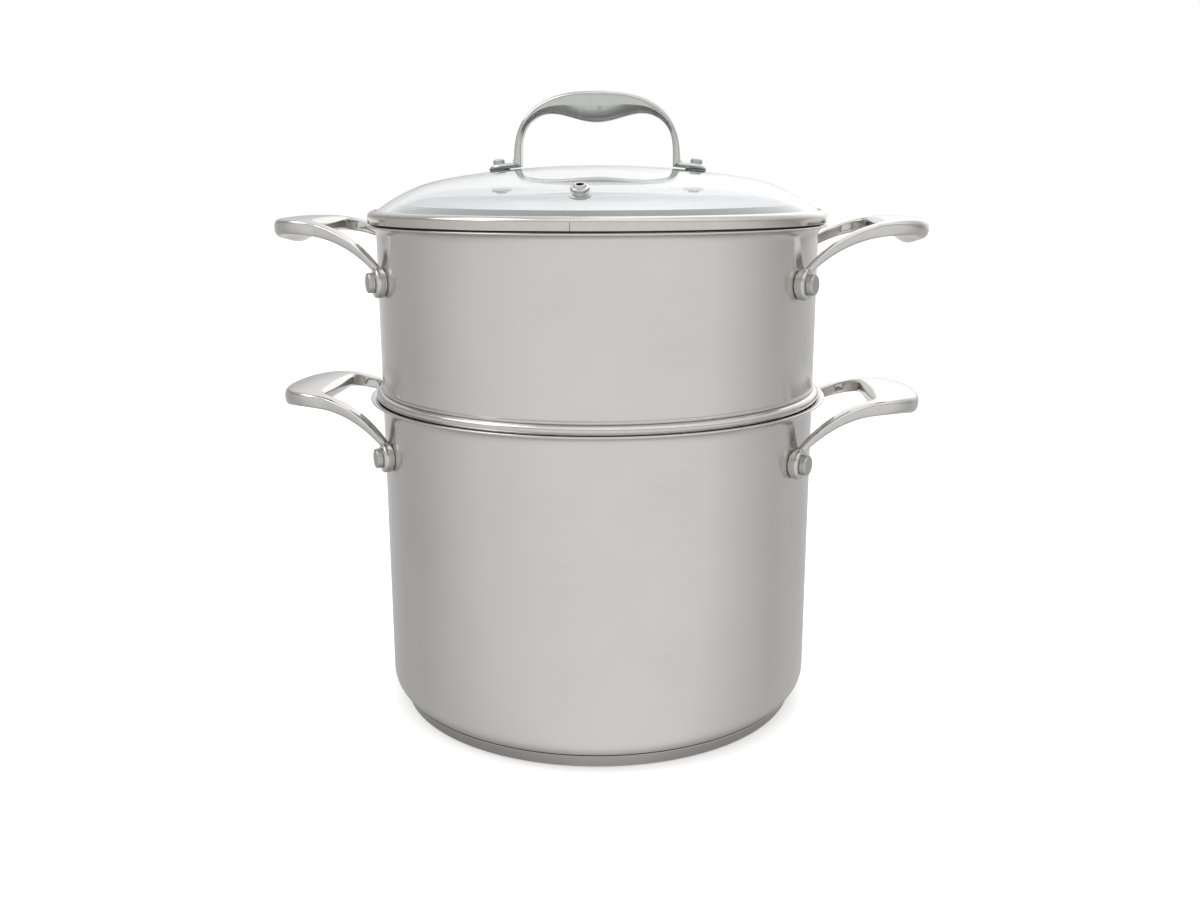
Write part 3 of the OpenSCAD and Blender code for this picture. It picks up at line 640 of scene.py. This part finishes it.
def glass_dome():
    """Glass of one thickness, ground flat where it stands on the band."""
    outer, turn = dome_face(0)
    out = Outline(*outer[0])
    for point in outer[1:]:
        out.line(*point)
    out.bend(shoulder_x, shoulder_z, turn - math.degrees(edge_tilt), 18)
    out.line(GLASS_R, glass_floor + 0.3).line(GLASS_R - 0.3, glass_floor)
    inner, turn = dome_face(GLASS_T)
    inside = SHOULDER_RAD - GLASS_T
    out.line(shoulder_x + inside * math.sin(floor_tilt), glass_floor)
    out.bend(shoulder_x, shoulder_z, math.degrees(floor_tilt) - turn, 18)
    for point in reversed(inner[:-1]):
        out.line(*point)
    finished(out.turned(), "glass_dome", "lid", ["lid_glass"], GLASS)


def steel_band():
    """Strip curled over the glass's edge, with a skirt that centres the lid. Its chamfered
    underside is coloured very dark, as painted shade for the dark gap between the band and the rim."""
    curl = (BAND_R - BAND_CURL, BAND_TOP - BAND_CURL)
    lip = math.radians(LIP_ANGLE)
    out = Outline(SKIRT_R, BAND_Z).line(BAND_R - 1.3, BAND_Z).line(BAND_R - 0.25, BAND_Z + 0.62)
    out.line(BAND_R, BAND_Z + 0.95).line(BAND_R, curl[1])
    out.bend(*curl, LIP_ANGLE, 18)
    inner = BAND_CURL - BAND_T
    out.line(curl[0] + inner * math.cos(lip), curl[1] + inner * math.sin(lip))
    out.bend(*curl, -LIP_ANGLE, 14).line(BAND_R - BAND_T, flange_z)
    out.line(SKIRT_R - BAND_T, flange_z).line(SKIRT_R - BAND_T, BAND_Z - SKIRT_H)
    out.line(SKIRT_R, BAND_Z - SKIRT_H)
    finished(out.turned(), "steel_band", "lid", ["lid_band"],
             BAND_STEEL, CREVICE_SHADE_STEEL,
             lambda p: p.z < BAND_Z + 0.61 and p.to_2d().length > SKIRT_R + 0.2)


def seal():
    """Silicone ring between the glass's edge and the band."""
    curl = (BAND_R - BAND_CURL, BAND_TOP - BAND_CURL)
    room, gap = BAND_CURL - BAND_T - 0.02, 0.03
    out = Outline(SKIRT_R + 0.6, flange_z + gap).line(BAND_R - BAND_T - gap, flange_z + gap)
    out.line(curl[0] + room, curl[1]).bend(*curl, LIP_ANGLE - 3, 12)
    touch = math.asin((curl[0] - 0.3 - shoulder_x) / (SHOULDER_RAD + gap))
    out.line(shoulder_x + (SHOULDER_RAD + gap) * math.sin(touch),
             shoulder_z + (SHOULDER_RAD + gap) * math.cos(touch))
    out.bend(shoulder_x, shoulder_z, math.degrees(touch - edge_tilt), 6)
    # A thin lip runs up the inside of the glass, seen as a grey ring above the band
    inside, lip_end = SHOULDER_RAD - GLASS_T - gap, math.radians(SEAL_LIP_END)
    lip = inside - SEAL_LIP_T
    start, end = (math.acos((glass_floor - gap - shoulder_z) / rad) for rad in (inside, lip))
    out.line(GLASS_R + gap, glass_floor - gap)
    out.line(shoulder_x + inside * math.sin(start), glass_floor - gap)
    out.bend(shoulder_x, shoulder_z, math.degrees(start - lip_end), 6)
    out.line(shoulder_x + lip * math.sin(lip_end), shoulder_z + lip * math.cos(lip_end))
    out.bend(shoulder_x, shoulder_z, math.degrees(lip_end - end), 6)
    out.line(SKIRT_R + 0.6, glass_floor - gap)
    finished(out.turned(), "glass_seal", "lid", ["lid_seal"], CLEAR_SILICONE)


def foot_matrix(side):
    """Stands a piece on the glass where a foot of the handle is, square to it."""
    return (Matrix.Translation((0, 0, crown_z)) @ Matrix.Rotation(side * foot_tilt, 4, "Y")
            @ Matrix.Translation((0, 0, CROWN_RAD)))


def arch_ring(a, b, width, grip):
    """A cross-section of the arch from a on its inside to b on its outside. grip goes
    from 0 in the legs to 1 in the middle, where the facet above the crease is widest."""
    thick, half = (b - a).length, width / 2
    soft = min(0.9, 0.2 * thick)
    # Inner edge, end of the lower facet, crease and outer edge: side, height, softness
    front = [(half * (0.8 - 0.28 * grip), 0, soft + 0.6 * grip),
             (half * (0.88 - 0.08 * grip), thick * (0.2 - 0.09 * grip), 0.5 * soft + 0.8 * grip),
             (half, thick * 0.53, 0.15 + 0.1 * grip),
             (half * 0.84, thick, soft + 1.4 * grip)]
    back = [(-v, u, edge) for v, u, edge in reversed(front)]
    # The number of splits belongs to the side that follows its corner
    corners = [(*corner, splits) for corner, splits in zip(front + back, (1, 1, 1, 3) * 2)]
    return [Vector((a.x + (b.x - a.x) * u / thick, v, a.y + (b.y - a.y) * u / thick))
            for v, u in soft_polygon(corners)]


def arch_point(a, b, power, t):
    """A point of a superellipse a wide and b high above the feet, at an angle from its top."""
    r = ((math.sin(t) / a) ** power + (abs(math.cos(t)) / b) ** power) ** (-1 / power)
    return Vector((r * math.sin(t), foot_z + FOOT_T + r * math.cos(t)))


def lid_arch():
    """Grip, legs and feet in one casting, from the middle of the grip to the end of a foot."""
    tilt, fillet, crease = foot_tilt, 3.0, 0.9
    fan_steps, foot_steps, end_steps = 10, 4, 14

    def foot_plane(x, above):
        return foot_z + (FOOT_R - x) * math.tan(tilt) + above / math.cos(tilt)

    half = []
    bend_c = Vector((ARCH_A + fillet, foot_plane(ARCH_A + fillet, FOOT_T) + fillet))
    crease_c = Vector((ARCH_A - LEG_T + crease, foot_plane(ARCH_A - LEG_T + crease, 0) + crease))
    steps = 56
    for i in range(steps + 1):
        t = math.pi / 2 * i / steps
        outer = arch_point(ARCH_A, ARCH_H, ARCH_POWER, t)
        if outer.y < bend_c.y + 1:
            break
        inner = arch_point(ARCH_A - LEG_T, ARCH_H - CROWN_T, ARCH_INNER_POWER, t)
        inner.y -= GRIP_SWELL * hump(2 * inner.x / GRIP_L)
        width = LEG_W + (GRIP_W - LEG_W) * hump(outer.x / (0.8 * ARCH_A))
        wide = min(1, max(0, (FACET_START - outer.x) / FACET_RUN))
        half.append(arch_ring(inner, outer, width, wide * wide * (3 - 2 * wide)))
    fan = math.pi / 2 - tilt
    for i in range(fan_steps + 1):
        t = fan * i / fan_steps
        ray = Vector((-math.cos(t), -math.sin(t)))
        half.append(arch_ring(crease_c + crease * ray, bend_c + fillet * ray,
                              LEG_W + (FOOT_W - LEG_W) * i / fan_steps, 0))
    along = Vector((math.cos(tilt), -math.sin(tilt)))
    up = Vector((math.sin(tilt), math.cos(tilt)))
    rivet = Vector((FOOT_R, foot_z))
    start = (crease_c + crease * Vector((-math.cos(fan), -math.sin(fan))) - rivet).dot(along)
    for i in range(1, foot_steps + 1):
        d = start * (1 - i / foot_steps)
        low = rivet + along * d
        half.append(arch_ring(low, low + up * FOOT_T, FOOT_W, 0))
    for i in range(1, end_steps + 1):
        t = math.pi / 2 * i / end_steps
        low = rivet + along * (FOOT_W / 2 * math.sin(t))
        thick = FOOT_T - FOOT_TAPER * math.sin(t) ** 2
        half.append(arch_ring(low, low + up * thick, FOOT_W * max(1e-3, math.cos(t)), 0))
    rings = [[Vector((-p.x, p.y, p.z)) for p in ring] for ring in reversed(half[1:])] + half
    finished(skin(rings), "lid_arch_handle", "lid", ["lid_handle"], GRIP_STEEL)


def lid_fasteners():
    """Rivets through the feet, with soft pads on both sides of the glass and a washer."""
    sag = (WASHER_D / 2) ** 2 / (2 * (CROWN_RAD - GLASS_T)) + 0.02
    head, shank, curve = LID_HEAD_R, LID_SHANK_R, LID_HEAD_ROUND
    low = -GLASS_T - sag - SOFT_PAD_T - WASHER_T
    for side, hand in ((-1, "left"), (1, "right")):
        foot_top = SOFT_PAD_T + FOOT_T
        out = Outline(0, low - LID_INNER_T).line(head - 0.6, low - LID_INNER_T)
        out.line(head, low - 0.6).line(head, low)
        out.line(shank, low).line(shank, foot_top).line(head, foot_top)
        out.line(head, foot_top + curve).bend(head - curve, foot_top + curve, 80, 7)
        out.line(0, foot_top + LID_HEAD_T)
        finished(placed(out.turned(48), foot_matrix(side)), f"lid_rivet_{hand}_turned", "lid",
                 [f"lid_rivet_{hand}"], RIVET_STEEL)
        under = -GLASS_T - sag
        rings = (("foot_pad", FOOT_W - 0.6, SOFT_PAD_T, SOFT_PAD_T, GREY_SILICONE, "grey_silicone"),
                 ("under_pad", WASHER_D - 0.6, SOFT_PAD_T, under, GREY_SILICONE, "grey_silicone"),
                 ("washer", WASHER_D, WASHER_T, under - SOFT_PAD_T, WASHER_STEEL, "rivet_steel"))
        for part, d, t, top, material, slot in rings:
            ring = Outline(shank, top - t).line(d / 2 - CHAMFER, top - t)
            ring.line(d / 2, top - t + CHAMFER).line(d / 2, top - CHAMFER)
            ring.line(d / 2 - CHAMFER, top).line(shank, top)
            finished(placed(ring.turned(64), foot_matrix(side)), f"lid_{part}_{hand}_ring", "lid",
                     [f"lid_{part}_{hand}"], material)


def steam_vent():
    """Eyelet through the glass at the front, closed over a washer on the inside."""
    tilt = math.asin((VENT_R - shoulder_x) / SHOULDER_RAD)
    matrix = (Matrix.Rotation(-math.pi / 2, 4, "Z")
              @ Matrix.Translation((shoulder_x, 0, shoulder_z))
              @ Matrix.Rotation(tilt, 4, "Y") @ Matrix.Translation((0, 0, SHOULDER_RAD)))
    washer_r, washer_t = VENT_D / 2 + VENT_WASHER_OUT, VENT_WASHER_T
    sag = washer_r ** 2 / (2 * (SHOULDER_RAD - GLASS_T)) + 0.05
    foot, tube, flange = -GLASS_T - sag - washer_t, VENT_HOLE_R + VENT_TUBE, VENT_D / 2
    out = Outline(VENT_HOLE_R, foot - VENT_FOOT)
    out.line(tube + VENT_FOOT, foot - VENT_FOOT).line(tube + VENT_FOOT, foot)
    out.line(tube, foot).line(tube, 0).line(flange - 0.3, 0).line(flange, 0.35)
    # A rounded flange carries the collar that is rolled over its top
    collar, roll_z = VENT_HOLE_R + VENT_COLLAR, VENT_T - VENT_ROUND
    out.line(flange, VENT_SIDE).bend(flange - VENT_SHOULDER, VENT_SIDE, 90, 8)
    out.line(collar + 0.15, 1.8).line(collar, roll_z).bend(collar - VENT_ROUND, roll_z, 90, 6)
    out.line(VENT_HOLE_R + VENT_ROUND, VENT_T).bend(VENT_HOLE_R + VENT_ROUND, roll_z, 90, 6)
    finished(placed(out.turned(64), matrix), "steam_eyelet", "lid", ["vent_eyelet"],
             POLISHED)
    ring = Outline(tube, foot).line(washer_r - CHAMFER, foot).line(washer_r, foot + CHAMFER)
    ring.line(washer_r, foot + washer_t - CHAMFER).line(washer_r - CHAMFER, foot + washer_t)
    ring.line(tube, foot + washer_t)
    finished(placed(ring.turned(64), matrix), "steam_washer", "lid", ["vent_washer"],
             WASHER_STEEL)


lower_pot()
base()
upper_pot()
HANDLE = right_handle()
side_handles()
HANDLE.free()
glass_dome()
steel_band()
seal()
lid_arch()
lid_fasteners()
steam_vent()
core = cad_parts["base_core"]
core.data.materials.clear()
core.data.materials.append(ALUMINIUM)


# ---------------------------------------------------------------- studio


# The photograph's view: a 35 mm lens level with the glass, 4.5 degrees off square
CAMERA_PLACE, CAMERA_LENS = (0.05296, -0.65715, 0.29322), 35.29
CAMERA_TURN, CAMERA_DOWN, CAMERA_ROLL = math.radians(4.5), 13.12, -0.0021
AHEAD = (-math.sin(CAMERA_TURN), math.cos(CAMERA_TURN))

# Levels of the studio's walls round the object, from the backdrop's middle past the
# left side, the camera and the right side: share of the turn, grey
WALLS = [(0.0, "#e4e4e4"), (0.055, "#cfcfcf"), (0.111, "#bababa"), (0.167, "#b4b4b4"),
         (0.208, "#b8b8b8"), (0.25, "#c5c5c5"), (0.32, "#d9d9d9"), (0.417, "#e5e5e5"),
         (0.5, "#e7e7e7"), (0.583, "#e7e7e7"), (0.667, "#e4e4e4"), (0.736, "#cfcfcf"),
         (0.792, "#bdbdbd"), (0.828, "#c0c0c0"), (0.875, "#e0e0e0"), (0.917, "#fdfdfd"),
         (0.958, "#ffffff"), (1.0, "#e4e4e4")]
# Under the bright walls at the back on the right, the paper as the metal mirrors it is painted
# darker than they are: painted shade of the pot's shadow there
FLOOR = WALLS[:14] + [(0.875, "#bbbbbb"), (0.917, "#c0c0c0"), (0.958, "#c8c8c8"), (1.0, "#e4e4e4")]
# Levels from the horizon up the sloping diffuser, and what they are multiplied by
HEIGHTS = [(0.0, "#c6c6c6"), (0.12, "#c6c6c6"), (0.28, "#a8a8a8"), (0.4, "#b4b4b4"),
           (0.55, "#d8d8d8"), (0.7, "#e0e0e0"), (1.0, "#eaeaea")]
STUDIO_LIGHT = 2.2
SLOPE_BACK, SLOPE_RIGHT = 0.35, 0.2  # of the diffuser overhead
# Distances from the axis between which the pot's contact darkens the mirrored paper
CONTACT, CONTACT_LEVELS = (0.112, 0.13), (0.72, 1.2)


def surroundings(material, direction, levels):
    """The level of the studio in a direction from the object."""
    ahead, beside = (
        add(material, "VectorMath", {0: direction, 1: axis}, operation="DOT_PRODUCT")
        for axis in ((-AHEAD[0], -AHEAD[1], 0), (AHEAD[1], -AHEAD[0], 0)))
    turn = add(material, "Math", {
        0: beside.outputs["Value"], 1: ahead.outputs["Value"]}, operation="ARCTAN2")
    share = ranged(material, turn.outputs[0], -math.pi, math.pi, 0.0, 1.0)
    return add(material, "ValToRGB", {"Fac": share}, stops=levels).outputs["Color"]


def studio_world():
    """White backdrop for the camera, the studio's walls for the light and the metal."""
    world = bpy.data.worlds.new("studio")
    world.use_nodes = True
    world.node_tree.nodes.clear()
    rays = add(world, "LightPath")
    walls = surroundings(world, add(world, "TexCoord").outputs["Generated"], WALLS)
    # A pale diffuser hangs overhead and slopes down behind the object on the right, and
    # the wall below it is a little darker, which draws a line along polished edges
    slope = add(world, "VectorMath", {
        0: add(world, "TexCoord").outputs["Generated"],
        1: (SLOPE_BACK * AHEAD[0] + SLOPE_RIGHT, SLOPE_BACK * AHEAD[1], 1.0)},
        operation="DOT_PRODUCT")
    height = add(world, "ValToRGB", {"Fac": slope.outputs["Value"]}, stops=HEIGHTS)
    overhead = add(world, "Math", {
        0: height.outputs["Color"], 1: STUDIO_LIGHT}, operation="MULTIPLY")
    studio = add(world, "Background", {"Color": walls, "Strength": overhead.outputs[0]})
    white = add(world, "Background", {"Color": colour("#ffffff"), "Strength": 1.0})
    seen = add(world, "Math", {
        0: rays.outputs["Is Camera Ray"],
        1: rays.outputs["Is Transmission Ray"]}, operation="MAXIMUM")
    mixed = add(world, "MixShader", {
        0: seen.outputs[0], 1: studio.outputs[0], 2: white.outputs[0]})
    add(world, "OutputWorld", {"Surface": mixed.outputs[0]})
    bpy.context.scene.world = world


def studio_floor():
    """White paper. Metal reflects it at the level of the studio's walls above it, with painted
    shade of the pot's shadow near the base and at the back on the right.
    """
    bm = bmesh.new()
    bmesh.ops.create_circle(bm, cap_ends=True, segments=96, radius=6)
    bmesh.ops.translate(bm, vec=(0, 0, -0.0002), verts=bm.verts)
    mesh = bpy.data.meshes.new("floor")
    bm.to_mesh(mesh)
    bm.free()
    material = new_material("matt white paper")
    place = add(material, "TexCoord").outputs["Object"]
    tone = tones(material, noise(material, place, 2, 2.0), "#f9f9f9", "#fcfcfc")
    paper = add(material, "BsdfPrincipled", {
        "Base Color": tone, "Roughness": 0.9, "Specular IOR Level": 0.1,
        "Emission Color": colour("#ffffff"), "Emission Strength": 0.3})
    near = add(material, "VectorMath", {0: place, 1: (0.1 * AHEAD[0], 0.1 * AHEAD[1], 0)})
    walls = surroundings(material, near.outputs[0], FLOOR)
    away = add(material, "VectorMath", {0: place}, operation="LENGTH")
    contact = ranged(material, away.outputs["Value"], *CONTACT, *CONTACT_LEVELS,
                     interpolation_type="SMOOTHSTEP")
    mirrored = add(material, "Emission", {"Color": walls, "Strength": contact})
    rays = add(material, "LightPath")
    mixed = add(material, "MixShader", {
        0: rays.outputs["Is Glossy Ray"], 1: paper.outputs[0], 2: mirrored.outputs[0]})
    mesh.materials.append(finish_material(material, mixed))
    floor = bpy.data.objects.new("floor", mesh)
    bpy.context.scene.collection.objects.link(floor)


def softbox(name, place, aim, size, power):
    """A rectangular lamp that faces a point."""
    light = bpy.data.lights.new(name, "AREA")
    light.shape, light.size, light.size_y, light.energy = "RECTANGLE", *size, power
    lamp = bpy.data.objects.new(name, light)
    lamp.location = place
    lamp.rotation_euler = (Vector(aim) - Vector(place)).to_track_quat("-Z", "Y").to_euler()
    bpy.context.scene.collection.objects.link(lamp)


def camera():
    """The camera of the photograph."""
    data = bpy.data.cameras.new("camera")
    data.lens, data.sensor_width = CAMERA_LENS, 36
    shot = bpy.data.objects.new("camera", data)
    shot.location = CAMERA_PLACE
    shot.rotation_euler = (math.radians(90 - CAMERA_DOWN), 0, CAMERA_TURN)
    shot.rotation_euler.rotate_axis("Z", CAMERA_ROLL)
    data.clip_start, data.clip_end = 0.01, 50
    bpy.context.scene.collection.objects.link(shot)
    bpy.context.scene.camera = shot


studio_world()
studio_floor()
softbox("left softbox", (-1.05, -0.3, 1.5), (0, 0, 0.2), (1.0, 0.9), 5)
camera()
bpy.context.scene.view_settings.view_transform = "Standard"
